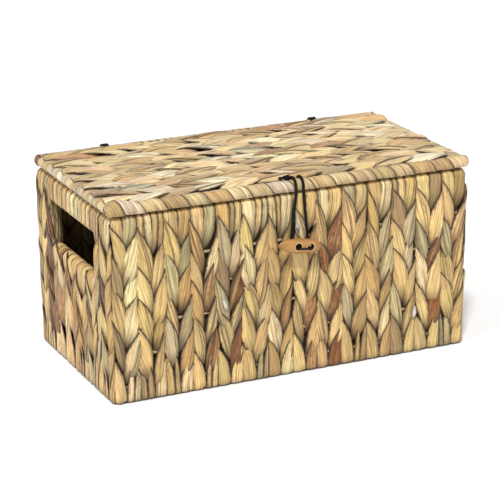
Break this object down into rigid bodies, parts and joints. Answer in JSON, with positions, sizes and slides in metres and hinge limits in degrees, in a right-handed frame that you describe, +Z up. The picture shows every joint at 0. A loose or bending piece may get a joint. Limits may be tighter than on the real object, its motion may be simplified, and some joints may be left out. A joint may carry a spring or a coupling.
{
  "type": "woven lidded box",
  "caption": "Rectangular storage box twined from flat leaf over a wire frame, with a lashed lid, hand holes in the short walls and an elastic loop that hooks behind a wooden toggle.",
  "frame": {"origin": "on the floor, at the centre of the base's flat underside", "axes": "+X along the front wall to the right as seen from the front, +Y from the front wall to the hinged back wall, +Z up"},
  "size_m": [0.362, 0.2094, 0.1905],
  "materials": {
    "leaf_wall": "dried flat leaf, twined, satin with matt pith flecks",
    "leaf_lid": "dried flat leaf, twined, satin with matt pith flecks",
    "leaf_rim": "dried leaf strip wound in a spiral, satin",
    "frame_wire": "steel wire bound in straw-coloured leaf fibre, matt",
    "black_cord": "round braided elastic cord, matt",
    "toggle_wood": "turned hardwood, oiled satin"
  },
  "bodies": {
    "box": {"front_wall": "leaf_wall", "back_wall": "leaf_wall", "left_front_stile": "leaf_wall", "left_rear_stile": "leaf_wall", "left_sill_panel": "leaf_wall", "left_handle_bar": "leaf_wall", "right_front_stile": "leaf_wall", "right_rear_stile": "leaf_wall", "right_sill_panel": "leaf_wall", "right_handle_bar": "leaf_wall", "base": "leaf_wall", "top_rim_wire": "frame_wire", "base_rim_wire": "frame_wire", "left_handle_wire": "frame_wire", "right_handle_wire": "frame_wire", "post_front_left": "frame_wire", "post_front_right": "frame_wire", "post_back_left": "frame_wire", "post_back_right": "frame_wire", "hoop_1": "frame_wire", "hoop_2": "frame_wire", "hoop_3": "frame_wire", "front_hoop_4": "frame_wire", "back_hoop_4": "frame_wire", "front_hoop_5": "frame_wire", "back_hoop_5": "frame_wire", "base_rod_1": "frame_wire", "base_rod_2": "frame_wire", "base_rod_3": "frame_wire", "base_rod_4": "frame_wire", "left_hinge_tie": "black_cord", "right_hinge_tie": "black_cord"},
    "lid": {"lid_panel": "leaf_lid", "lid_front_wrap": "leaf_rim", "lid_rear_wrap": "leaf_rim", "lid_rim_wire": "frame_wire", "lid_rod_1": "frame_wire", "lid_rod_2": "frame_wire", "lid_rod_3": "frame_wire", "lid_rod_4": "frame_wire", "lid_rod_5": "frame_wire", "lid_rod_6": "frame_wire", "lid_rod_7": "frame_wire", "lid_rod_8": "frame_wire", "lid_rod_9": "frame_wire", "lid_rod_10": "frame_wire", "lid_rod_11": "frame_wire"},
    "loop": {"closure_loop": "black_cord", "loop_knot": "black_cord"},
    "toggle": {"toggle": "toggle_wood", "toggle_stitch": "black_cord", "toggle_knot": "black_cord"}
  },
  "joints": [
    {"name": "lid_hinge", "type": "hinge", "parent": "box", "child": "lid", "pos_m": [0, 0.0903, 0.1801], "axis": [-1, 0, 0], "range_deg": [0, 180]},
    {"name": "loop_swing", "type": "hinge", "parent": "lid", "child": "loop", "pos_m": [0.003, -0.0903, 0.1801], "axis": [1, 0, 0], "range_deg": [0, 90], "deforming": ["closure_loop"]},
    {"name": "toggle_swivel", "type": "hinge", "parent": "box", "child": "toggle", "pos_m": [0.003, -0.105, 0.1267], "axis": [0, -1, 0], "range_deg": [-90, 90]}
  ],
  "couplings": [
    {"joint": "loop_swing", "follows": "lid_hinge", "ratio": 0.5}
  ]
}
